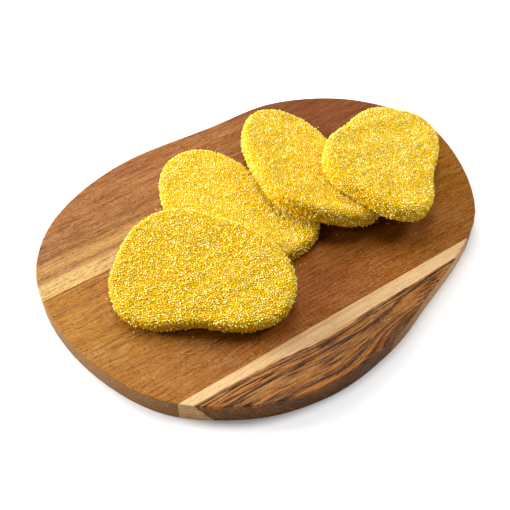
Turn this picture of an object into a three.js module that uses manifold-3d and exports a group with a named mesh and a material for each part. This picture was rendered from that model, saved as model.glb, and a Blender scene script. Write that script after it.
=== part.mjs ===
// Four breaded schnitzels lying on a wooden serving board.
// Millimetres, +Z up. The origin is under the middle of the board, on the surface it stands on.
// +X runs along the grain of the board, its longest side.
import * as THREE from 'three';
import { mergeVertices } from 'three/addons/utils/BufferGeometryUtils.js';
import Module from 'manifold-3d';

// The board: three glued staves cut to one freehand oval.
const BOARD_THICKNESS = 15.2;
const BOARD_ARRIS = 0.8;
const ARRIS_STEPS = 2;
const OUTLINE_STEPS = 112;
const BOARD_OUTLINE = [
  [-148, -5.5], [-127.5, -62], [-86.5, -96.5], [-43, -110], [-2.5, -108.5], [39, -96.5], [117, -60],
  [149.5, 15.5], [124, 71.5], [72.5, 103.5], [14.5, 107.5], [-55.5, 109.5], [-113, 89], [-144.5, 49.5],
];
const FRONT_GLUE_LINE = -73.9;
const BACK_GLUE_LINE = 30.3;
const GLUE_LINE_WIDTH = 0.1;

// The schnitzels: formed meat slices with one slightly hollow side, thick upright rims with rounded
// edges, and a crumb coat.
const SLICE_THICKNESS = 12.2;
const RIM_RADIUS = 3;
const COLUMNS = 60;
const RIM_STEPS = 4;
const UNDERSIDE_RINGS = 4;
const TOP_RINGS = 8;
const CRAG_DEPTH = 0.7;
const CRAG_WAVES = 14;
const CRAG_SPACING = [12, 26];
const CLEARANCE = 0.3;
const PROBE_SPACING = 1;

// Each slice: its centre on the board, the turn of its outline, how far it tilts and which way it
// rises, in degrees, and its outline as a mean radius with lobes. Lobe n of the list repeats n + 2
// times round the slice, and holds the height of its cosine and of its sine.
// The list is in laying order: a slice may lean on those before it.
const SLICES = [
  {
    name: 'schnitzel_flat',
    centre: [-17.3, 23.2], turn: 104.3, tilt: 0, uphill: 0, radius: 46.9,
    lobes: [[10.4, 0], [2.65, -2.45], [0.15, -0.8], [0.9, -1], [-0.4, 0.2]],
    seed: 11,
  },
  {
    name: 'schnitzel_front',
    centre: [-64.9, -12.6], turn: -47.4, tilt: 12.4, uphill: 33.8, radius: 46,
    lobes: [[9.15, 0.5], [3.75, -1.5], [-0.65, -0.6], [0.55, -0.3], [-0.15, -0.1]],
    seed: 23,
  },
  {
    name: 'schnitzel_middle',
    centre: [37.9, 21.7], turn: 89.2, tilt: 14.9, uphill: -175.8, radius: 46.9,
    lobes: [[11.75, -0.3], [2.7, -2.35], [1.65, -0.35], [0.1, -1.65], [0.1, 0.1]],
    seed: 37,
  },
  {
    name: 'schnitzel_right',
    centre: [84.6, -1.7], turn: 43, tilt: 12.3, uphill: -179, radius: 45.8,
    lobes: [[10.75, -1.75], [1.95, -3.9], [0, 1.2], [0.65, -1], [-0.8, 0.3]],
    seed: 53,
  },
];

const wasm = await Module();
wasm.setup();

const crumbCoat = new THREE.MeshStandardMaterial({ color: 0xe8bf45, roughness: 0.9, metalness: 0 });
const reddishWood = new THREE.MeshStandardMaterial({ color: 0x8a5433, roughness: 0.6, metalness: 0 });
const goldenWood = new THREE.MeshStandardMaterial({ color: 0x96613a, roughness: 0.6, metalness: 0 });
const darkWood = new THREE.MeshStandardMaterial({ color: 0x7a4f30, roughness: 0.6, metalness: 0 });

function positionsOnly(geometry) {
  geometry.deleteAttribute('normal');
  geometry.deleteAttribute('uv');
  return mergeVertices(geometry);
}

function solidOf(geometry) {
  const closed = positionsOnly(geometry);
  return new wasm.Manifold(new wasm.Mesh({
    numProp: 3,
    vertProperties: new Float32Array(closed.attributes.position.array),
    triVerts: new Uint32Array(closed.index.array),
  }));
}

function geometryOf(solid) {
  const mesh = solid.getMesh();
  const geometry = new THREE.BufferGeometry();
  geometry.setAttribute('position', new THREE.BufferAttribute(new Float32Array(mesh.vertProperties), 3));
  geometry.setIndex(Array.from(mesh.triVerts));
  geometry.computeVertexNormals();
  return geometry;
}

// The whole oval with both its edges eased, centred on its own box.
function boardBlank() {
  const corners = BOARD_OUTLINE.map(([x, y]) => new THREE.Vector3(x, y, 0));
  const curve = new THREE.CatmullRomCurve3(corners, true, 'catmullrom', 0.5);
  const rim = curve.getPoints(OUTLINE_STEPS).slice(0, -1);
  const geometry = new THREE.ExtrudeGeometry(new THREE.Shape(rim.map((p) => new THREE.Vector2(p.x, p.y))), {
    depth: BOARD_THICKNESS - 2 * BOARD_ARRIS,
    bevelThickness: BOARD_ARRIS,
    bevelSize: BOARD_ARRIS,
    bevelOffset: -BOARD_ARRIS,
    bevelSegments: ARRIS_STEPS,
  });
  geometry.computeBoundingBox();
  const centre = geometry.boundingBox.getCenter(new THREE.Vector3());
  geometry.translate(-centre.x, -centre.y, BOARD_ARRIS);
  return solidOf(geometry);
}

// One stave is the part of the blank between two glue lines.
function stave(name, blank, frontSide, backSide, material) {
  const reach = 400;
  const front = frontSide === null ? -reach : frontSide + GLUE_LINE_WIDTH / 2;
  const back = backSide === null ? reach : backSide - GLUE_LINE_WIDTH / 2;
  const strip = new THREE.BoxGeometry(2 * reach, back - front, reach);
  strip.translate(0, (front + back) / 2, 0);
  const mesh = new THREE.Mesh(geometryOf(blank.intersect(solidOf(strip))), material);
  mesh.name = name;
  return mesh;
}

// A repeatable stream of numbers from 0 to 1.
function randomStream(seed) {
  let state = seed;
  return () => {
    state = (state + 0x6d2b79f5) | 0;
    let t = Math.imul(state ^ (state >>> 15), 1 | state);
    t = (t + Math.imul(t ^ (t >>> 7), 61 | t)) ^ t;
    return ((t ^ (t >>> 14)) >>> 0) / 4294967296;
  };
}

// Crags: a sum of waves that cross the slice in every direction. It gives how far the crumb coat
// falls short of the outer skin of the slice, from 0 to 1.
function cragField(seed) {
  const random = randomStream(seed);
  const waves = [];
  for (let i = 0; i < CRAG_WAVES; i += 1) {
    const direction = new THREE.Vector3(random() - 0.5, random() - 0.5, random() - 0.5).normalize();
    const spacing = THREE.MathUtils.lerp(CRAG_SPACING[0], CRAG_SPACING[1], random());
    waves.push({ direction: direction.multiplyScalar((2 * Math.PI) / spacing), phase: 2 * Math.PI * random() });
  }
  const scale = Math.sqrt(0.5 / CRAG_WAVES);
  return (point) => {
    const wave = waves.reduce((sum, w) => sum + Math.sin(point.dot(w.direction) + w.phase), 0);
    return THREE.MathUtils.clamp(0.5 + scale * wave, 0, 1);
  };
}

// The slice's outline seen from above, at an angle round its centre.
function outlinePoint(slice, angle) {
  let radius = slice.radius;
  slice.lobes.forEach(([cosine, sine], i) => {
    radius += cosine * Math.cos((i + 2) * angle) + sine * Math.sin((i + 2) * angle);
  });
  return new THREE.Vector2(radius * Math.cos(angle), radius * Math.sin(angle));
}

function outwardNormal(slice, angle) {
  const step = 0.01;
  const along = outlinePoint(slice, angle + step).sub(outlinePoint(slice, angle - step)).normalize();
  return new THREE.Vector2(along.y, -along.x);
}

// The rings of a slice from the underside to the top: how far in from the outline, how high, and
// what share of the way from the centre.
function sliceRings() {
  const rings = [];
  for (let i = 1; i < UNDERSIDE_RINGS; i += 1) {
    rings.push({ inset: RIM_RADIUS, height: 0, share: i / UNDERSIDE_RINGS });
  }
  for (let i = 0; i <= RIM_STEPS; i += 1) {
    const angle = (Math.PI / 2) * (i / RIM_STEPS);
    rings.push({ inset: RIM_RADIUS * (1 - Math.sin(angle)), height: RIM_RADIUS * (1 - Math.cos(angle)), share: 1 });
  }
  for (let i = 0; i <= RIM_STEPS; i += 1) {
    const angle = (Math.PI / 2) * (i / RIM_STEPS);
    const height = SLICE_THICKNESS - RIM_RADIUS * (1 - Math.sin(angle));
    rings.push({ inset: RIM_RADIUS * (1 - Math.cos(angle)), height, share: 1 });
  }
  for (let i = TOP_RINGS - 1; i > 0; i -= 1) {
    rings.push({ inset: RIM_RADIUS, height: SLICE_THICKNESS, share: i / TOP_RINGS });
  }
  return rings;
}

// The slice's skin: rings of points round its outline, closed by a point in the middle of each face.
function sliceGeometry(slice) {
  const crags = cragField(slice.seed);
  const rings = sliceRings();
  const points = [new THREE.Vector3(0, 0, 0)];
  for (const ring of rings) {
    for (let column = 0; column < COLUMNS; column += 1) {
      const angle = (2 * Math.PI * column) / COLUMNS;
      const normal = outwardNormal(slice, angle);
      const flat = outlinePoint(slice, angle).addScaledVector(normal, -ring.inset).multiplyScalar(ring.share);
      const point = new THREE.Vector3(flat.x, flat.y, ring.height);
      const sideways = 1 - ring.inset / RIM_RADIUS;
      const upward = (2 * ring.height) / SLICE_THICKNESS - 1;
      const outward = new THREE.Vector3(normal.x * sideways, normal.y * sideways, upward).normalize();
      const fall = Math.min(1, ring.height / RIM_RADIUS) * CRAG_DEPTH * crags(point);
      points.push(point.addScaledVector(outward, -fall));
    }
  }
  points.push(new THREE.Vector3(0, 0, SLICE_THICKNESS - CRAG_DEPTH / 2));
  const rows = rings.length;
  const last = points.length - 1;
  const at = (row, column) => 1 + row * COLUMNS + (column % COLUMNS);
  const triangles = [];
  for (let column = 0; column < COLUMNS; column += 1) {
    triangles.push(0, at(0, column + 1), at(0, column));
    for (let row = 0; row < rows - 1; row += 1) {
      triangles.push(at(row, column), at(row, column + 1), at(row + 1, column + 1));
      triangles.push(at(row, column), at(row + 1, column + 1), at(row + 1, column));
    }
    triangles.push(at(rows - 1, column), at(rows - 1, column + 1), last);
  }
  const geometry = new THREE.BufferGeometry().setFromPoints(points);
  geometry.setIndex(triangles);
  geometry.computeVertexNormals();
  return geometry;
}

// The height of a placed mesh over each cell of a square grid: its top or, with side -1, its underside.
function heights(mesh, side) {
  mesh.updateMatrixWorld(true);
  const position = mesh.geometry.attributes.position;
  const index = mesh.geometry.index.array;
  const cells = new Map();
  const corner = [0, 1, 2].map(() => new THREE.Vector3());
  for (let t = 0; t < index.length; t += 3) {
    corner.forEach((c, i) => c.fromBufferAttribute(position, index[t + i]).applyMatrix4(mesh.matrixWorld));
    const [a, b, c] = corner;
    const area = (b.x - a.x) * (c.y - a.y) - (c.x - a.x) * (b.y - a.y);
    if (Math.abs(area) < 1e-6) continue;
    const low = [Math.min(a.x, b.x, c.x), Math.min(a.y, b.y, c.y)].map((v) => Math.ceil(v / PROBE_SPACING));
    const high = [Math.max(a.x, b.x, c.x), Math.max(a.y, b.y, c.y)].map((v) => Math.floor(v / PROBE_SPACING));
    for (let i = low[0]; i <= high[0]; i += 1) {
      for (let j = low[1]; j <= high[1]; j += 1) {
        const x = i * PROBE_SPACING - a.x;
        const y = j * PROBE_SPACING - a.y;
        const u = (x * (c.y - a.y) - y * (c.x - a.x)) / area;
        const v = (y * (b.x - a.x) - x * (b.y - a.y)) / area;
        if (u < 0 || v < 0 || u + v > 1) continue;
        const z = a.z + u * (b.z - a.z) + v * (c.z - a.z);
        const key = `${i},${j}`;
        if (!cells.has(key) || side * z > side * cells.get(key)) cells.set(key, z);
      }
    }
  }
  return cells;
}

// Lowers a tilted slice until the first point of its underside meets the board or a slice under it.
function lay(mesh, laid) {
  let lift = -Infinity;
  for (const [key, underside] of heights(mesh, -1)) {
    let support = BOARD_THICKNESS;
    for (const tops of laid) support = Math.max(support, tops.get(key) ?? support);
    lift = Math.max(lift, support - underside);
  }
  mesh.position.z += lift + CLEARANCE;
}

// A slice turned in its own plane and then tilted about a level line under its centre.
function schnitzel(slice) {
  const mesh = new THREE.Mesh(sliceGeometry(slice), crumbCoat.clone());
  mesh.name = slice.name;
  const uphill = THREE.MathUtils.degToRad(slice.uphill);
  const hinge = new THREE.Vector3(Math.sin(uphill), -Math.cos(uphill), 0);
  const tilt = new THREE.Quaternion().setFromAxisAngle(hinge, THREE.MathUtils.degToRad(slice.tilt));
  const turn = new THREE.Quaternion();
  turn.setFromAxisAngle(new THREE.Vector3(0, 0, 1), THREE.MathUtils.degToRad(slice.turn));
  mesh.quaternion.multiplyQuaternions(tilt, turn);
  mesh.position.set(slice.centre[0], slice.centre[1], BOARD_THICKNESS);
  return mesh;
}

const group = new THREE.Group();

const blank = boardBlank();
group.add(stave('board_front', blank, null, FRONT_GLUE_LINE, darkWood));
group.add(stave('board_middle', blank, FRONT_GLUE_LINE, BACK_GLUE_LINE, goldenWood));
group.add(stave('board_back', blank, BACK_GLUE_LINE, null, reddishWood));

const laid = [];
for (const slice of SLICES) {
  const mesh = schnitzel(slice);
  lay(mesh, laid);
  laid.push(heights(mesh, 1));
  group.add(mesh);
}

export default group;
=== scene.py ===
import math
import random

import bmesh
import bpy
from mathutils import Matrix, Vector


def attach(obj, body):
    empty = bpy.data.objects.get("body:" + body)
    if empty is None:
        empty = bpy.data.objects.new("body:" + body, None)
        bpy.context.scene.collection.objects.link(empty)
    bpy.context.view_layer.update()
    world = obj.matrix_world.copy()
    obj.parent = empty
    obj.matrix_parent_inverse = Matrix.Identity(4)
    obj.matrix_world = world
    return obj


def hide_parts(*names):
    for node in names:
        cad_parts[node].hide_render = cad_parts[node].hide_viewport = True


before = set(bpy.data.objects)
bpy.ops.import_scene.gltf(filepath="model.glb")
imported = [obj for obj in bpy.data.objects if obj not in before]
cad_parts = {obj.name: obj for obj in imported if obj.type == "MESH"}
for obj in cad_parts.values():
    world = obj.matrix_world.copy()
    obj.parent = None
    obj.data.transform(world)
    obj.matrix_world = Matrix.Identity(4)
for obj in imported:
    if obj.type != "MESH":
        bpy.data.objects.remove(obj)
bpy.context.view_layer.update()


# The set: a white table, faintly lit from below, that the board lies on. The main soft boxes stand
# low at the left and behind, and weaker ones hang overhead and at the right. The camera looks down
# at the board from its front left, at about 50 degrees, along a line 56 degrees off the grain.

camera_data = bpy.data.cameras.new("camera")
camera_data.lens = 56.56
camera_data.sensor_width = 36.0
camera_data.clip_start = 0.01
camera = bpy.data.objects.new("camera", camera_data)
bpy.context.collection.objects.link(camera)
camera.location = (-0.2036, -0.2765, 0.3982)
looked_at = Vector((-0.0236, -0.01025, 0.0152))
camera.rotation_euler = (looked_at - camera.location).to_track_quat("-Z", "Y").to_euler()
bpy.context.scene.camera = camera
bpy.context.scene.view_settings.view_transform = "Standard"

TABLE_REACH = 4.0
table_corners = [(x * TABLE_REACH, y * TABLE_REACH, 0) for x, y in ((-1, -1), (1, -1), (1, 1), (-1, 1))]
table_mesh = bpy.data.meshes.new("table")
table_mesh.from_pydata(table_corners, [], [(0, 1, 2, 3)])
table = bpy.data.objects.new("table", table_mesh)
bpy.context.collection.objects.link(table)
table_white = bpy.data.materials.new("table_white")
table_white.use_nodes = True
table_finish = table_white.node_tree.nodes["Principled BSDF"].inputs
table_finish["Base Color"].default_value = (0.93, 0.93, 0.93, 1)
table_finish["Roughness"].default_value = 0.9
table_finish["Specular IOR Level"].default_value = 0.1
table_finish["Emission Color"].default_value = (1, 1, 1, 1)
table_finish["Emission Strength"].default_value = 0.12
table_mesh.materials.append(table_white)

room = bpy.data.worlds.new("white_room")
room.use_nodes = True
room_light = room.node_tree.nodes["Background"].inputs
room_light["Color"].default_value = (1.0, 1.0, 1.0, 1)
room_light["Strength"].default_value = 0.07
bpy.context.scene.world = room

BOX_SIDE = 0.5
BOX_DISTANCE = 1.5


def soft_box(name, bearing, height_angle, watts):
    """A square soft box that faces the board, on a bearing in degrees from +X towards +Y."""
    data = bpy.data.lights.new(name, "AREA")
    data.shape = "SQUARE"
    data.size = BOX_SIDE
    data.energy = watts
    light = bpy.data.objects.new(name, data)
    bpy.context.collection.objects.link(light)
    turn = math.radians(bearing)
    rise = math.radians(height_angle)
    place = Vector((math.cos(turn) * math.cos(rise), math.sin(turn) * math.cos(rise), math.sin(rise)))
    light.location = BOX_DISTANCE * place
    light.rotation_euler = (-place).to_track_quat("-Z", "Y").to_euler()


soft_box("box_left", 136, 18, 31.5)
soft_box("box_front_left", 181, 45, 2.6)
soft_box("box_back_left", 106, 20, 15.2)
soft_box("box_back", 71, 55, 5.6)
soft_box("box_overhead", 56, 82, 8.4)
soft_box("box_right", -14, 45, 9.6)


# The board: three staves of acacia-like wood, glued edge to edge and cut to one freehand oval,
# with both edges eased by sanding, then rubbed with oil. The grain runs along the glue lines,
# and each stave shows its own cut: light sapwood, streaked heartwood, brown end grain.

BOARD_TOP = 0.0152
WELD_DISTANCE = 0.000005
CREASE_DEGREES = 15


class Recipe:
    """A node tree being filled. add returns the node, and most others the socket that comes out."""

    def __init__(self, tree):
        self.tree = tree

    def add(self, kind, **settings):
        node = self.tree.nodes.new(kind)
        for name, value in settings.items():
            setattr(node, name, value)
        return node

    def feed(self, socket, value):
        if isinstance(value, bpy.types.NodeSocket):
            self.tree.links.new(value, socket)
        elif value is not None:
            socket.default_value = value

    def math(self, operation, first, second=None, third=None):
        node = self.add("ShaderNodeMath", operation=operation)
        for socket, value in zip(node.inputs, (first, second, third)):
            self.feed(socket, value)
        return node.outputs[0]

    def blend_range(self, value, low, high):
        """0 below low, 1 above high, smooth between them."""
        node = self.add("ShaderNodeMapRange", interpolation_type="SMOOTHSTEP")
        self.feed(node.inputs["Value"], value)
        self.feed(node.inputs["From Min"], low)
        self.feed(node.inputs["From Max"], high)
        return node.outputs["Result"]

    def vector(self, operation, first, second):
        node = self.add("ShaderNodeVectorMath", operation=operation)
        self.feed(node.inputs[0], first)
        self.feed(node.inputs[1], second)
        return node.outputs["Vector"]

    def parts(self, point):
        """The X, Y and Z of a point or a direction."""
        node = self.add("ShaderNodeSeparateXYZ")
        self.feed(node.inputs[0], point)
        return node.outputs["X"], node.outputs["Y"], node.outputs["Z"]

    def noise(self, point, per_mm, detail=2.0, roughness=0.5):
        """Soft noise with that many waves per millimetre along X, Y and Z."""
        node = self.add("ShaderNodeTexNoise")
        self.feed(node.inputs["Vector"], self.vector("MULTIPLY", point, per_mm))
        node.inputs["Scale"].default_value = 1.0
        node.inputs["Detail"].default_value = detail
        node.inputs["Roughness"].default_value = roughness
        return node.outputs["Fac"]

    def mix(self, share, under, over, blend_type="MIX"):
        node = self.add("ShaderNodeMix", data_type="RGBA", blend_type=blend_type)
        self.feed(node.inputs[0], share)
        self.feed(node.inputs[6], under)
        self.feed(node.inputs[7], over)
        return node.outputs[2]

    def ramp(self, factor, stops):
        """Colour stops as (place from 0 to 1, colour)."""
        node = self.add("ShaderNodeValToRGB")
        self.feed(node.inputs["Fac"], factor)
        elements = node.color_ramp.elements
        while len(elements) < len(stops):
            elements.new(1.0)
        for element, (place, colour) in zip(elements, stops):
            element.position = place
            element.color = colour
        return node.outputs["Color"]

    def curve(self, value, points):
        """A smooth line through (value, result) points, in the units they are given in."""
        lows = [min(p[axis] for p in points) for axis in (0, 1)]
        spans = [max(p[axis] for p in points) - lows[axis] for axis in (0, 1)]
        along = self.math("DIVIDE", self.math("SUBTRACT", value, lows[0]), spans[0])
        node = self.add("ShaderNodeFloatCurve")
        line = node.mapping.curves[0]
        while len(line.points) < len(points):
            line.points.new(0.5, 0.5)
        for handle, point in zip(line.points, points):
            handle.location = ((point[0] - lows[0]) / spans[0], (point[1] - lows[1]) / spans[1])
        node.mapping.update()
        self.feed(node.inputs["Value"], along)
        return self.math("MULTIPLY_ADD", node.outputs[0], spans[1], lows[1])

    def group(self, tree, **values):
        """Places a node group, sets the inputs named in values, and returns all its outputs."""
        node = self.add("ShaderNodeGroup", node_tree=tree)
        for name, value in values.items():
            self.feed(node.inputs[name], value)
        return node.outputs

    def millimetres(self, seed=None):
        """The point on the object in millimetres, shifted by the seed so that no two woods match."""
        place = self.add("ShaderNodeTexCoord").outputs["Object"]
        node = self.add("ShaderNodeVectorMath", operation="MULTIPLY_ADD")
        self.feed(node.inputs[0], place)
        node.inputs[1].default_value = (1000, 1000, 1000)
        if seed is not None:
            shift =self.add("ShaderNodeVectorMath", operation="SCALE")
            shift.inputs[0].default_value = (371.0, 113.0, 59.0)
            self.feed(shift.inputs["Scale"], seed)
            self.feed(node.inputs[2], shift.outputs[0])
        return node.outputs[0]


def colour(red, green, blue):
    """A colour as a paint chart gives it, from 0 to 255, in Blender's linear numbers."""
    linear = []
    for part in (red, green, blue):
        part /= 255
        linear.append(part / 12.92 if part <= 0.04045 else ((part + 0.055) / 1.055) ** 2.4)
    return (*linear, 1.0)


def new_group(name, inputs, outputs):
    """An empty shader group, its recipe, and its inputs and outputs by name."""
    tree = bpy.data.node_groups.new(name, "ShaderNodeTree")
    for label, kind, value in inputs:
        socket = tree.interface.new_socket(label, in_out="INPUT", socket_type="NodeSocket" + kind)
        socket.default_value = value
    for label, kind in outputs:
        tree.interface.new_socket(label, in_out="OUTPUT", socket_type="NodeSocket" + kind)
    entry = tree.nodes.new("NodeGroupInput")
    result = tree.nodes.new("NodeGroupOutput")
    return tree, Recipe(tree), entry.outputs, result.inputs


def new_material(name, roughness, specular):
    """A material with one Principled BSDF, its recipe and the shader's inputs."""
    material = bpy.data.materials.new(name)
    material.use_nodes = True
    shader = material.node_tree.nodes["Principled BSDF"]
    shader.inputs["Roughness"].default_value = roughness
    shader.inputs["Specular IOR Level"].default_value = specular
    return material, Recipe(material.node_tree), shader.inputs


wood_grain, make, given, result = new_group(
    "wood_grain",
    [("Wood", "Color", (0.4, 0.2, 0.05, 1)), ("Strength", "Float", 1.0), ("Streaks", "Float", 1.0),
     ("Fibres", "Float", 1.0), ("Pores", "Float", 0.5), ("Seed", "Float", 0.0)],
    [("Wood", "Color"), ("Height", "Float"), ("Pore", "Float")])
point = make.millimetres(given["Seed"])
sway = make.noise(point, (0.014, 0.05, 0.05), 1.0)
swayed = make.add("ShaderNodeCombineXYZ")
make.feed(swayed.inputs["Y"], make.math("MULTIPLY", make.math("SUBTRACT", sway, 0.5), 9.0))
point = make.vector("ADD", point, swayed.outputs[0])
streak = make.noise(point, (0.010, 0.16, 0.16), 2.0, 0.6)
fine_streak = make.noise(point, (0.022, 0.80, 0.80), 1.0, 0.6)
fibre = make.noise(point, (0.10, 2.1, 2.1), 1.0, 0.7)
pore_noise = make.noise(point, (0.16, 1.6, 1.6), 1.0)
pore = make.blend_range(pore_noise, 0.60, 0.70)
tone = make.math("MULTIPLY", make.math("SUBTRACT", streak, 0.5), 0.6)
tone = make.math("MULTIPLY_ADD", make.math("SUBTRACT", fine_streak, 0.5), 0.8, tone)
tone = make.math("MULTIPLY", tone, given["Streaks"])
fibre_tone = make.math("MULTIPLY", make.math("SUBTRACT", fibre, 0.5), 2.0)
tone = make.math("MULTIPLY_ADD", fibre_tone, given["Fibres"], tone)
fleck = make.math("SUBTRACT", make.noise(point, (0.6, 1.5, 1.5), 1.0), 0.5)
tone = make.math("MULTIPLY_ADD", fleck, 1.1, tone)
tone = make.math("MULTIPLY", tone, given["Strength"])
dark_side = make.math("MULTIPLY", tone, -2.0)
light_side = make.math("MULTIPLY", tone, 0.35)
wood = make.mix(dark_side, given["Wood"], colour(168, 122, 50), "MULTIPLY")
wood = make.mix(light_side, wood, colour(230, 200, 150))
pore_share = make.math("MULTIPLY", make.math("MULTIPLY", pore, given["Pores"]), given["Strength"])
wood = make.mix(pore_share, wood, colour(140, 92, 50), "MULTIPLY")
make.feed(result["Wood"], wood)
height = make.math("MULTIPLY_ADD", pore, -0.8, fibre)
make.feed(result["Height"], height)
make.feed(result["Pore"], pore)

end_grain, make, given, result = new_group(
    "end_grain",
    [("Wood", "Color", (0.4, 0.2, 0.05, 1)), ("Shade", "Color", colour(170, 160, 150)),
     ("Seed", "Float", 0.0)],
    [("Wood", "Color"), ("Wall", "Float")])
along, _, up = make.parts(make.add("ShaderNodeTexCoord").outputs["Normal"])
wall = make.math("SUBTRACT", 1.0, make.blend_range(make.math("ABSOLUTE", up), 0.25, 0.9))
cut_across = make.math("MULTIPLY_ADD", make.math("ABSOLUTE", along), 0.7, 0.3)
point = make.millimetres(given["Seed"])
saw_mottle = make.noise(point, (0.35, 0.35, 1.4), 3.0, 0.7)
mottle = make.math("MULTIPLY_ADD", make.blend_range(saw_mottle, 0.32, 0.68), 0.6, 0.3)
share = make.math("MULTIPLY", make.math("MULTIPLY", wall, cut_across), mottle)
cut_pores = make.blend_range(make.noise(point, (0.25, 0.9, 0.9), 2.0, 0.7), 0.42, 0.58)
pore_share = make.math("MULTIPLY", cut_pores, 0.8)
cut_colour = make.mix(pore_share, given["Shade"], colour(160, 148, 136), "MULTIPLY")
make.feed(result["Wood"], make.mix(share, given["Wood"], cut_colour))
make.feed(result["Wall"], wall)

flour_film, make, given, result = new_group(
    "flour_film",
    [("Surface", "Color", (0.4, 0.2, 0.05, 1)), ("Amount", "Float", 0.2)],
    [("Surface", "Color")])
_, _, up = make.parts(make.add("ShaderNodeTexCoord").outputs["Normal"])
point = make.millimetres()
patches = make.blend_range(make.noise(point, (0.03, 0.045, 0.03), 2.0), 0.5, 0.75)
grit = make.blend_range(make.noise(point, (0.9, 0.9, 0.9), 4.0, 0.75), 0.45, 0.75)
film = make.math("MULTIPLY", patches, grit)
film = make.math("MULTIPLY", film, make.blend_range(up, 0.9, 0.99))
film = make.math("MULTIPLY", film, given["Amount"])
make.feed(result["Surface"], make.mix(film, given["Surface"], colour(236, 214, 180)))


def oiled_wood(name, seed, figure, oil, streaks, fibres, pores, wall_shade):
    """An oiled wood. The function given paints its broad figure and says how strong the grain is."""
    material, make, shader = new_material(name, 0.5, 0.12)
    painted, strength = figure(make)
    painted = make.mix(1.0, painted, oil, "MULTIPLY")
    grained = make.group(wood_grain, Wood=painted, Strength=strength, Streaks=streaks, Fibres=fibres,
                         Pores=pores, Seed=seed)
    walled = make.group(end_grain, Wood=grained["Wood"], Shade=wall_shade, Seed=seed)
    dusted = make.group(flour_film, Surface=walled["Wood"], Amount=0.15)
    make.feed(shader["Base Color"], dusted["Surface"])
    satin = make.math("MULTIPLY_ADD", grained["Pore"], 0.25, 0.46)
    make.feed(shader["Roughness"], make.math("MULTIPLY_ADD", walled["Wall"], 0.2, satin))
    bump = make.add("ShaderNodeBump")
    bump.inputs["Strength"].default_value = 0.35
    bump.inputs["Distance"].default_value = 0.0001
    make.feed(bump.inputs["Height"], grained["Height"])
    make.feed(shader["Normal"], bump.outputs["Normal"])
    return material


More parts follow.
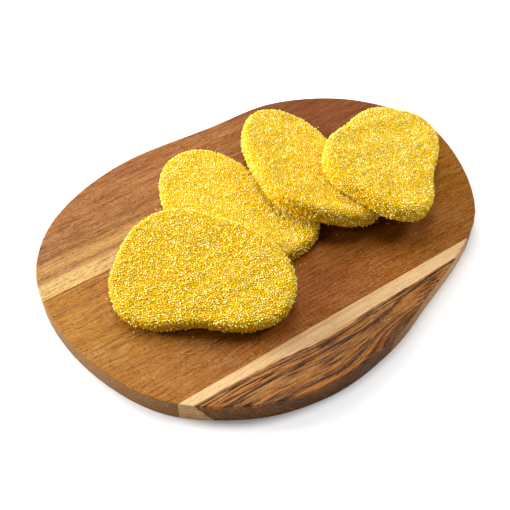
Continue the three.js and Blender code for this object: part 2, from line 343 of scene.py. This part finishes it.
def front_figure(make):
    """Pale sapwood along the glue line, then heartwood, which the right end has as a thin lens."""
    point = make.millimetres()
    x, y, z = make.parts(point)
    depth = make.math("SUBTRACT", 1000 * BOARD_TOP, z)
    edge = make.curve(x, [(-125, -79.3), (-110, -79.5), (-69, -80.8), (-44, -82.8), (-29, -84.5),
                          (-14, -84.8), (6, -83.2), (16, -82.8), (31, -82.8), (56, -82.2),
                          (81, -81.5), (110, -78.0)])
    ragged = make.math("SUBTRACT", make.noise(point, (0.10, 0.9, 0.4), 3.0, 0.6), 0.5)
    ring = make.math("MULTIPLY_ADD", depth, -0.46, make.math("SUBTRACT", edge, y))
    inside = make.math("MULTIPLY_ADD", ragged, 2.6, ring)
    heart = make.blend_range(inside, -0.35, 0.5)
    lens = make.blend_range(x, -2.0, 12.0)
    over_lens = make.math("SUBTRACT", depth, make.math("MULTIPLY_ADD", lens, -38.5, 40.0))
    under_lens = make.blend_range(over_lens, -0.6, 0.6)
    heart = make.math("MULTIPLY", heart, make.math("SUBTRACT", 1.0, under_lens))
    sap_lines = make.noise(point, (0.008, 0.9, 0.9), 2.0)
    sap = make.ramp(sap_lines, [(0.34, colour(232, 168, 92)), (0.42, colour(252, 208, 148)),
                                (0.56, colour(255, 228, 182)), (0.70, colour(250, 208, 150))])
    browner = make.math("SUBTRACT", 1.0, make.blend_range(x, 5.0, 75.0))
    sap = make.mix(make.math("MULTIPLY", under_lens, browner), sap, colour(176, 128, 74))
    rising = make.math("MAXIMUM", make.math("ADD", x, 45.0), 0.0)
    bend = make.math("MULTIPLY", make.math("MULTIPLY", rising, rising), 0.0045)
    ring = make.math("MULTIPLY_ADD", bend, make.blend_range(ring, 6.0, 22.0), ring)
    line_place = make.add("ShaderNodeCombineXYZ")
    make.feed(line_place.inputs["X"], x)
    make.feed(line_place.inputs["Y"], ring)
    make.feed(line_place.inputs["Z"], make.math("MULTIPLY", z, 0.2))
    wander = make.math("SUBTRACT", make.noise(line_place.outputs[0], (0.02, 0.12, 0.12), 2.0), 0.5)
    bands = make.math("MULTIPLY", make.math("MULTIPLY_ADD", wander, 3.0, ring), 1 / 34)
    brown = make.ramp(bands, [(0.00, colour(168, 108, 48)), (0.06, colour(122, 72, 30)),
                              (0.10, colour(177, 114, 49)), (0.18, colour(184, 108, 36)),
                              (0.28, colour(177, 116, 49)), (0.40, colour(156, 99, 42)),
                              (0.50, colour(179, 119, 52)), (0.60, colour(158, 98, 39)),
                              (0.64, colour(103, 60, 24)), (0.68, colour(67, 34, 12)),
                              (0.71, colour(160, 94, 32)), (0.75, colour(202, 128, 43)),
                              (0.80, colour(120, 67, 24)), (0.83, colour(86, 45, 17)),
                              (0.88, colour(152, 94, 37)), (0.94, colour(99, 58, 24))])
    hatch = make.noise(line_place.outputs[0], (0.05, 1.0, 1.0), 1.0, 0.5)
    hatched = make.math("MULTIPLY_ADD", make.blend_range(ring, 19.0, 22.0), -0.5, 1.0)
    dark_line = make.math("SUBTRACT", 1.0, make.blend_range(hatch, 0.40, 0.47))
    light_line = make.blend_range(hatch, 0.53, 0.60)
    brown = make.mix(make.math("MULTIPLY", make.math("MULTIPLY", light_line, hatched), 0.7),
                     brown, colour(206, 150, 80))
    brown = make.mix(make.math("MULTIPLY", make.math("MULTIPLY", dark_line, hatched), 0.95),
                     brown, colour(60, 30, 8))
    # Darker down the heartwood's front wall, below the top edge: painted shade for the wall that faces away
    # from the lights.
    brown = make.mix(make.math("MULTIPLY", make.blend_range(depth, 0.6, 3.0), 0.8), brown,
                     colour(70, 40, 20))
    vein = make.curve(x, [(-125, -91.5), (-94, -90.0), (-56, -90.0), (-29, -91.5), (-9, -92.0),
                          (6, -91.5), (31, -87.0), (44, -85.4), (56, -84.0), (81, -82.0)])
    off_vein = make.math("ABSOLUTE", make.math("SUBTRACT", vein, y))
    off_vein = make.math("MULTIPLY_ADD", ragged, 2.0, off_vein)
    on_vein = make.math("SUBTRACT", 1.0, make.blend_range(off_vein, 0.2, 1.1))
    brown = make.mix(make.math("MULTIPLY", on_vein, 0.85), brown, colour(40, 20, 11))
    return make.mix(heart, sap, brown), make.math("MULTIPLY_ADD", heart, 0.3, 0.3)


def middle_figure(make):
    """Golden brown, darker towards the right, partly in the wood's own tone and partly as painted shade for
    less light from the left and the slices' shadows there, with a few fine dark lines at the left.
    """
    point = make.millimetres()
    x, y, _ = make.parts(point)
    clouds = make.noise(point, (0.010, 0.04, 0.04), 2.0)
    along = make.math("MULTIPLY_ADD", clouds, 90.0, x)
    # Darker towards the right: partly the wood's own tone, partly painted shade for less light from the
    # left and the slices' shadows.
    wood = make.ramp(make.math("MULTIPLY_ADD", along, 1 / 260, 0.40),
                     [(0.00, colour(206, 152, 70)), (0.25, colour(192, 132, 54)),
                      (0.45, colour(192, 122, 26)), (0.65, colour(190, 118, 2)),
                      (1.00, colour(190, 130, 20))])
    at_front = make.math("SUBTRACT", 1.0, make.blend_range(y, -50.0, -20.0))
    wood = make.mix(at_front, wood, colour(244, 232, 212), "MULTIPLY")
    lines = make.blend_range(make.noise(point, (0.02, 0.95, 0.95), 1.0), 0.57, 0.70)
    at_left = make.math("SUBTRACT", 1.0, make.blend_range(x, -80.0, -50.0))
    at_back = make.blend_range(y, -40.0, -15.0)
    lines = make.math("MULTIPLY", lines, make.math("MULTIPLY", at_left, at_back))
    wood = make.mix(make.math("MULTIPLY", lines, 0.75), wood, colour(136, 80, 36))
    glue_side = make.blend_range(y, 28.8, 29.8)
    return make.mix(make.math("MULTIPLY", glue_side, 0.55), wood, colour(130, 76, 34)), 1.0


def back_figure(make):
    """A blurred band of sapwood at the glue line, grey-brown streaks, then smooth reddish brown towards the
    right, darker there partly in the wood's own tone and partly as painted shade for less light from the
    left.
    """
    point = make.millimetres()
    x, y, _ = make.parts(point)
    ragged = make.noise(point, (0.022, 0.45, 0.3), 3.0, 0.65)
    wave = make.noise(point, (0.012, 0.03, 0.03), 1.0)
    across = make.math("MULTIPLY_ADD", make.math("SUBTRACT", ragged, 0.5), 7.0, y)
    across = make.math("MULTIPLY_ADD", make.math("SUBTRACT", wave, 0.5), 6.0, across)
    bands = make.math("MULTIPLY_ADD", across, 1 / 80, -30.0 / 80)
    wood = make.ramp(bands, [(0.00, colour(246, 206, 148)), (0.09, colour(254, 224, 170)),
                             (0.14, colour(240, 198, 140)), (0.18, colour(186, 134, 86)),
                             (0.20, colour(190, 138, 88)), (0.25, colour(222, 174, 116)),
                             (0.32, colour(212, 162, 104)), (0.37, colour(168, 112, 66)),
                             (0.42, colour(192, 134, 80)), (0.47, colour(158, 104, 62)),
                             (0.52, colour(188, 128, 78)), (0.75, colour(184, 124, 78)),
                             (1.00, colour(178, 118, 72))])
    # Towards the right the wood turns reddish and darker: partly its own colour, partly painted shade for
    # less light from the left.
    to_right = make.math("MULTIPLY_ADD", make.math("SUBTRACT", ragged, 0.5), 60.0, x)
    reddish_and_shaded = make.blend_range(to_right, 10.0, 75.0)
    return make.mix(reddish_and_shaded, wood, colour(144, 84, 52)), make.math("MULTIPLY_ADD", reddish_and_shaded, -0.5, 1.0)


front_wood = oiled_wood("front_wood", 1.0, front_figure, colour(213, 205, 193), 0.8, 0.9, 0.5,
                        colour(166, 112, 58))
middle_wood = oiled_wood("middle_wood", 2.0, middle_figure, colour(200, 186, 128), 0.6, 0.7, 0.35,
                         colour(124, 98, 74))
back_wood = oiled_wood("back_wood", 3.0, back_figure, colour(198, 190, 158), 0.9, 0.7, 0.3,
                       colour(118, 90, 66))


def merged_copy(name, node):
    """A copy of a CAD solid as one welded mesh, ready to be finished."""
    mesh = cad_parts[node].data.copy()
    mesh.name = name
    mesh.materials.clear()
    form = bmesh.new()
    form.from_mesh(mesh)
    bmesh.ops.remove_doubles(form, verts=form.verts, dist=WELD_DISTANCE)
    bmesh.ops.recalc_face_normals(form, faces=form.faces)
    for edge in form.edges:
        edge.smooth = edge.calc_face_angle(0.0) < math.radians(CREASE_DEGREES)
    for face in form.faces:
        face.smooth = True
    form.to_mesh(mesh)
    form.free()
    piece = bpy.data.objects.new(name, mesh)
    bpy.context.collection.objects.link(piece)
    return piece


for name, node, wood, slot in (("front_stave", "board_front", front_wood, "dark_wood"),
                               ("middle_stave", "board_middle", middle_wood, "golden_wood"),
                               ("back_stave", "board_back", back_wood, "reddish_wood")):
    stave = merged_copy(name, node)
    stave.data.materials.append(wood)
    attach(stave, "root")
    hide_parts(node)


# The schnitzels: formed slices of meat with round thick rims, pressed into dry yellow crumbs.
# The coat is a lumpy crust, golden where it shows between the crumbs, partly its own colour and
# partly painted shade for the gaps, and thin enough in a few small places for the pinkish meat to
# shine through.

CRUST_MESH = 0.0007
LUMP_HEIGHT = 0.0014
LUMP_SIZE = 0.0035
THIN_SPOTS_PER_METRE = 170.0


def new_layer(name, inputs):
    """An empty geometry tree, its input sockets, its recipe, and its inputs and outputs by name."""
    tree = bpy.data.node_groups.new(name, "GeometryNodeTree")
    tree.interface.new_socket("Geometry", in_out="INPUT", socket_type="NodeSocketGeometry")
    sockets = {}
    for label, kind in inputs:
        sockets[label] = tree.interface.new_socket(label, in_out="INPUT", socket_type="NodeSocket" + kind)
    tree.interface.new_socket("Geometry", in_out="OUTPUT", socket_type="NodeSocketGeometry")
    entry = tree.nodes.new("NodeGroupInput")
    result = tree.nodes.new("NodeGroupOutput")
    return tree, sockets, Recipe(tree), entry.outputs, result.inputs


def put_layer(piece, tree, sockets, values):
    """Gives a piece a modifier with that tree, and sets the tree's inputs, named in values."""
    layer = piece.modifiers.new(tree.name, "NODES")
    layer.node_group = tree
    for label, value in values.items():
        layer[sockets[label].identifier] = value


crust_tree, crust_sockets, make, given, result = new_layer(
    "lumpy_crust", [("Lump height", "Float"), ("Lump size", "Float"), ("Seed", "Float")])
place = make.add("GeometryNodeInputPosition").outputs[0]
lumps = make.add("ShaderNodeTexNoise", noise_dimensions="4D")
make.feed(lumps.inputs["Vector"], place)
make.feed(lumps.inputs["W"], given["Seed"])
make.feed(lumps.inputs["Scale"], make.math("DIVIDE", 1.0, given["Lump size"]))
lumps.inputs["Detail"].default_value = 2.0
rise = make.math("MULTIPLY", make.math("SUBTRACT", lumps.outputs[0], 0.5), given["Lump height"])
push = make.add("ShaderNodeVectorMath", operation="SCALE")
make.feed(push.inputs[0], make.add("GeometryNodeInputNormal").outputs[0])
make.feed(push.inputs["Scale"], rise)
moved = make.add("GeometryNodeSetPosition")
make.feed(moved.inputs["Geometry"], given["Geometry"])
make.feed(moved.inputs["Offset"], push.outputs[0])
thin = make.add("ShaderNodeTexNoise", noise_dimensions="4D")
make.feed(thin.inputs["Vector"], place)
make.feed(thin.inputs["W"], make.math("ADD", given["Seed"], 7.0))
thin.inputs["Scale"].default_value = THIN_SPOTS_PER_METRE
thin.inputs["Detail"].default_value = 1.0
stored = make.add("GeometryNodeStoreNamedAttribute", data_type="FLOAT", domain="POINT")
stored.inputs["Name"].default_value = "thin_coat"
make.feed(stored.inputs["Geometry"], moved.outputs[0])
make.feed(stored.inputs["Value"], make.blend_range(thin.outputs[0], 0.72, 0.78))
make.feed(result["Geometry"], stored.outputs[0])

crust_golden, make, shader = new_material("crust_golden", 0.85, 0.02)
point = make.millimetres()
speckle = make.noise(point, (1.4, 1.4, 1.4), 3.0, 0.7)
# The crust's deep golden is partly its own colour and partly painted shade for the gaps between the crumbs.
coat = make.ramp(speckle, [(0.30, colour(196, 136, 0)), (0.50, colour(214, 158, 0)),
                           (0.70, colour(232, 180, 2))])
thin_coat = make.add("ShaderNodeAttribute", attribute_name="thin_coat").outputs["Fac"]
coat = make.mix(make.math("MULTIPLY", thin_coat, 0.7), coat, colour(232, 184, 140))
make.feed(shader["Base Color"], coat)
bump = make.add("ShaderNodeBump")
bump.inputs["Strength"].default_value = 0.8
bump.inputs["Distance"].default_value = 0.0003
make.feed(bump.inputs["Height"], speckle)
make.feed(shader["Normal"], bump.outputs["Normal"])


def made_plain(piece):
    """Makes what the modifiers give the piece's own mesh, and takes the modifiers off."""
    graph = bpy.context.evaluated_depsgraph_get()
    mesh = bpy.data.meshes.new_from_object(piece.evaluated_get(graph), preserve_all_data_layers=True,
                                           depsgraph=graph)
    piece.modifiers.clear()
    piece.data = mesh


crusts = {}
for number, name in enumerate(("flat", "front", "middle", "right")):
    crust = merged_copy("crust_" + name, "schnitzel_" + name)
    evened = crust.modifiers.new("evened", "REMESH")
    evened.mode = "VOXEL"
    evened.voxel_size = CRUST_MESH
    evened.use_smooth_shade = True
    put_layer(crust, crust_tree, crust_sockets,
              {"Lump height": LUMP_HEIGHT, "Lump size": LUMP_SIZE, "Seed": 3.0 * number})
    made_plain(crust)
    crust.data.materials.clear()
    crust.data.materials.append(crust_golden)
    crusts[name] = crust
    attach(crust, "root")
    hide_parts("schnitzel_" + name)


# The crumbs: coarse yellow cornmeal, dry and angular, about a millimetre across, stuck all over
# each slice. They are lemon yellow, painted paler where they stand out and more golden where they
# sit low, as painted light and shade, and lie on finer, golden meal, whose colour is partly its own
# and partly painted shade for the gaps. On steep and downward faces fewer crumbs hide the meal,
# as painted warm shade on the slices' sides.

CLEAR_OF_BOARD = 0.0007
LOST_WHERE_THIN = 0.85
MOST_GRAINS_PER_M2 = 4000000.0
GRAIN_RADIUS = 0.0005
GRAIN_BEND = 0.00022
FULL_TURN = 6.2832


def random_value(make, kind, low, high, seed, shift):
    """A random number or vector for each point or instance."""
    node = make.add("FunctionNodeRandomValue", data_type=kind)
    first = {"FLOAT_VECTOR": 0, "FLOAT": 2, "INT": 4}[kind]
    make.feed(node.inputs[first], low)
    make.feed(node.inputs[first + 1], high)
    make.feed(node.inputs["Seed"], make.math("ADD", seed, shift))
    return node.outputs[{"FLOAT_VECTOR": 0, "FLOAT": 1, "INT": 2}[kind]]


def angular_shapes(make, kind, seed):
    """Three crooked crumbs of a millimetre across, to pick from."""
    joined = make.add("GeometryNodeJoinGeometry")
    for shape in range(3):
        if kind == "coarse":
            body = make.add("GeometryNodeMeshIcoSphere")
            body.inputs["Subdivisions"].default_value = 1
        else:
            body = make.add("GeometryNodeMeshUVSphere")
            body.inputs["Segments"].default_value = 4
            body.inputs["Rings"].default_value = 2
        body.inputs["Radius"].default_value = GRAIN_RADIUS
        crooked = make.add("GeometryNodeSetPosition")
        make.feed(crooked.inputs["Geometry"], body.outputs["Mesh"])
        bend = random_value(make, "FLOAT_VECTOR", (-GRAIN_BEND,) * 3, (GRAIN_BEND,) * 3, seed, 11.0 + shape)
        make.feed(crooked.inputs["Offset"], bend)
        single = make.add("GeometryNodeGeometryToInstance")
        make.feed(single.inputs[0], crooked.outputs[0])
        make.feed(joined.inputs[0], single.outputs[0])
    return joined.outputs[0]


def strewn(make, points, shapes, turn, scale, shade, seed, finish):
    """One of the three shapes on each point, each with its shade, as plain mesh in one finish."""
    put = make.add("GeometryNodeInstanceOnPoints")
    make.feed(put.inputs["Points"], points)
    make.feed(put.inputs["Instance"], shapes)
    put.inputs["Pick Instance"].default_value = True
    make.feed(put.inputs["Instance Index"], random_value(make, "INT", 0, 2, seed, 3.0))
    make.feed(put.inputs["Rotation"], turn)
    make.feed(put.inputs["Scale"], scale)
    shaded = make.add("GeometryNodeStoreNamedAttribute", data_type="FLOAT", domain="INSTANCE")
    shaded.inputs["Name"].default_value = "shade"
    make.feed(shaded.inputs["Geometry"], put.outputs[0])
    make.feed(shaded.inputs["Value"], shade)
    realized = make.add("GeometryNodeRealizeInstances")
    make.feed(realized.inputs[0], shaded.outputs[0])
    finished = make.add("GeometryNodeSetMaterial")
    make.feed(finished.inputs["Geometry"], realized.outputs[0])
    make.feed(finished.inputs["Material"], finish)
    return finished.outputs[0]


def grain_tree(name, kind):
    """A tree that strews one layer of grains over a crust, and its inputs by name."""
    tree, sockets, make, given, result = new_layer(name, [
        ("Spacing", "Float"), ("Grain", "Float"), ("Low", "Float"), ("High", "Float"),
        ("Share below", "Float"), ("Board height", "Float"), ("Seed", "Int"), ("Finish", "Material")])
    seed = given["Seed"]
    place = make.add("GeometryNodeInputPosition").outputs[0]
    facing = make.add("GeometryNodeInputNormal").outputs[0]
    thin_coat = make.add("GeometryNodeInputNamedAttribute", data_type="FLOAT")
    thin_coat.inputs["Name"].default_value = "thin_coat"
    height_above = make.math("SUBTRACT", make.parts(place)[2], given["Board height"])
    clear = make.math("GREATER_THAN", height_above, CLEAR_OF_BOARD)
    stuck = make.math("MULTIPLY_ADD", thin_coat.outputs[0], -LOST_WHERE_THIN, 1.0)
    # Fewer grains on steep and downward faces; for the coarse crumbs this lets the golden meal show there,
    # as painted warm shade on the slices' sides.
    steep = make.math("SUBTRACT", 1.0, make.blend_range(make.parts(facing)[2], -0.3, 0.5))
    fewer = make.math("MULTIPLY", steep, make.math("SUBTRACT", 1.0, given["Share below"]))
    kept = make.math("MULTIPLY", clear, stuck)
    kept = make.math("MULTIPLY", kept, make.math("SUBTRACT", 1.0, fewer))
    spread = make.add("GeometryNodeDistributePointsOnFaces", distribute_method="POISSON")
    make.feed(spread.inputs["Mesh"], given["Geometry"])
    make.feed(spread.inputs["Distance Min"], given["Spacing"])
    spread.inputs["Density Max"].default_value = MOST_GRAINS_PER_M2
    make.feed(spread.inputs["Density Factor"], kept)
    make.feed(spread.inputs["Seed"], seed)
    stand = make.add("ShaderNodeVectorMath", operation="SCALE")
    make.feed(stand.inputs[0], spread.outputs["Normal"])
    lift = random_value(make, "FLOAT", given["Low"], given["High"], seed, 1.0)
    make.feed(stand.inputs["Scale"], lift)
    lifted = make.add("GeometryNodeSetPosition")
    make.feed(lifted.inputs["Geometry"], spread.outputs["Points"])
    make.feed(lifted.inputs["Offset"], stand.outputs[0])
    shapes = angular_shapes(make, kind, seed)
    tumble = random_value(make, "FLOAT_VECTOR", (0.0,) * 3, (FULL_TURN,) * 3, seed, 4.0)
    size = make.add("ShaderNodeVectorMath", operation="SCALE")
    make.feed(size.inputs[0], random_value(make, "FLOAT_VECTOR", (0.6,) * 3, (1.35,) * 3, seed, 5.0))
    make.feed(size.inputs["Scale"], make.math("MULTIPLY", given["Grain"], 0.5 / GRAIN_RADIUS))
    layer_depth = make.math("SUBTRACT", given["High"], given["Low"])
    # Grains that stand higher get a paler shade and lower ones a more golden one: painted light and shade.
    painted_light_by_lift = make.math("DIVIDE", make.math("SUBTRACT", lift, given["Low"]), layer_depth)
    own_shade = random_value(make, "FLOAT", 0.0, 0.5, seed, 6.0)
    shade = make.math("MULTIPLY_ADD", painted_light_by_lift, 0.5, own_shade)
    grains = strewn(make, lifted.outputs[0], shapes, tumble, size.outputs[0], shade, seed, given["Finish"])
    make.feed(result["Geometry"], grains)
    return tree, sockets


def dry_maize(name, roughness, stops):
    """Maize whose shade is stored for each grain, partly painted light on the slices' crumbs, and drifts a
    little from place to place.
    """
    material, make, shader = new_material(name, roughness, 0.02)
    shade = make.add("ShaderNodeAttribute", attribute_name="shade").outputs["Fac"]
    drift = make.noise(make.millimetres(), (0.16, 0.16, 0.16), 2.0)
    shade = make.math("MULTIPLY_ADD", make.math("SUBTRACT", drift, 0.5), 0.25, shade)
    make.feed(shader["Base Color"], make.ramp(shade, stops))
    return material


cornmeal = dry_maize("cornmeal", 0.7, [
    (0.10, colour(242, 208, 2)), (0.40, colour(247, 228, 70)), (0.65, colour(249, 239, 130)),
    (0.95, colour(251, 246, 182))])
# The golden meal is partly its own colour and partly painted shade for the gaps between the pale crumbs.
golden_meal = dry_maize("golden_meal", 0.8, [
    (0.00, colour(230, 166, 0)), (0.50, colour(242, 192, 0)), (1.00, colour(248, 214, 4))])

meal_tree, meal_sockets = grain_tree("golden_meal", "fine")
crumb_tree, crumb_sockets = grain_tree("coarse_crumbs", "coarse")
for number, (name, crust) in enumerate(crusts.items()):
    for layer, tree, sockets, spacing, grain, low, high, share_below, finish in (
            ("meal_", meal_tree, meal_sockets, 0.0009, 0.00075, -0.0001, 0.0001, 0.8, golden_meal),
            ("crumbs_", crumb_tree, crumb_sockets, 0.00117, 0.00105, 0.0002, 0.0006, 0.2, cornmeal)):
        grains = bpy.data.objects.new(layer + name, crust.data.copy())
        bpy.context.collection.objects.link(grains)
        put_layer(grains, tree, sockets, {
            "Spacing": spacing, "Grain": grain, "Low": low, "High": high, "Share below": share_below,
            "Board height": BOARD_TOP, "Seed": 40 * (number + 1), "Finish": finish})
        made_plain(grains)
        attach(grains, "root")


# The spill: crumbs that fell off beside the slices, and specks of pale flour, some in smears
# where fingers or a slice touched the wood. They lie loose on the board's top.

CRUMB_SIZE = 0.75
CRUMB_SPREAD = 4.0
SPECK_SIZE = 0.34
SPECK_RISE = 0.00035


def spilt(x, y, size, spread, count):
    """Places of count specks round (x, y), with their sizes, all in millimetres."""
    for _ in range(count):
        yield (draw.gauss(x, spread), draw.gauss(y, spread), size * draw.uniform(0.7, 1.3))


draw = random.Random(5)
fallen = [(-114.1, -19.3, 0.9), (-112.2, -17.7, 0.7), (-111.0, 18.0, 0.8), (-53.0, 57.0, 0.8),
          (-8.3, -28.9, 1.3), (-9.4, -30.2, 0.8), (-56.6, -66.7, 0.6), (-119.3, -52.7, 0.7)]
for x, y, count in ((-60, 57, 3), (-113, 10, 3), (-86, -50, 5), (-40, -56, 4), (-8, -34, 4),
                    (28, -22, 3), (60, -36, 4), (98, -36, 3), (36, 66, 4), (70, 60, 3)):
    fallen += spilt(x, y, CRUMB_SIZE, CRUMB_SPREAD, count)
dust = []
for x, y, spread, count in (
        (56, -48, 2.5, 9), (33, -49, 2.0, 4), (34, -59, 2.5, 6), (10, -91, 3.5, 12),
        (14, -87, 2.0, 5), (37, -97, 2.0, 4), (-64, -70, 2.0, 3), (-97, -43, 2.5, 4),
        (-81, -54, 3.0, 4), (24, -69, 2.0, 3), (49, -73, 1.5, 3), (-53, 60, 3.0, 5),
        (4, -65, 8.0, 5), (40, -56, 18.0, 18), (-90, -55, 22.0, 22), (-100, 30, 20.0, 14)):
    dust += spilt(x, y, SPECK_SIZE, spread, count)

spill_tree, spill_sockets, make, given, result = new_layer(
    "spilt_crumbs", [("Seed", "Int"), ("Flatness", "Float"), ("Finish", "Material")])
seed = given["Seed"]
size_drawn = make.add("GeometryNodeInputNamedAttribute", data_type="FLOAT")
size_drawn.inputs["Name"].default_value = "size"
shapes = angular_shapes(make, "coarse", seed)
turn = random_value(make, "FLOAT_VECTOR", (0, 0, 0), (0, 0, FULL_TURN), seed, 4.0)
bulk = make.add("ShaderNodeCombineXYZ")
make.feed(bulk.inputs["X"], size_drawn.outputs[0])
make.feed(bulk.inputs["Y"], size_drawn.outputs[0])
make.feed(bulk.inputs["Z"], make.math("MULTIPLY", size_drawn.outputs[0], given["Flatness"]))
shade = random_value(make, "FLOAT", 0.0, 1.0, seed, 6.0)
loose = strewn(make, given["Geometry"], shapes, turn, bulk.outputs[0], shade, seed, given["Finish"])
make.feed(result["Geometry"], loose)

flour, make, shader = new_material("flour", 0.9, 0.1)
point = make.millimetres()
make.feed(shader["Base Color"], make.ramp(make.noise(point, (0.8, 0.8, 0.8), 2.0), [
    (0.35, colour(214, 176, 140)), (0.65, colour(250, 238, 222))]))

for name, specks, flatness, finish, number in (("fallen_crumbs", fallen, 0.8, cornmeal, 301),
                                               ("flour_specks", dust, 0.35, flour, 302)):
    seeds = bpy.data.meshes.new(name)
    seeds.from_pydata([(x / 1000, y / 1000, BOARD_TOP + flatness * size * SPECK_RISE)
                       for x, y, size in specks], [], [])
    sizes = seeds.attributes.new("size", "FLOAT", "POINT")
    sizes.data.foreach_set("value", [size for _, _, size in specks])
    spill = bpy.data.objects.new(name, seeds)
    bpy.context.collection.objects.link(spill)
    put_layer(spill, spill_tree, spill_sockets, {"Seed": number, "Flatness": flatness, "Finish": finish})
    made_plain(spill)
    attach(spill, "root")
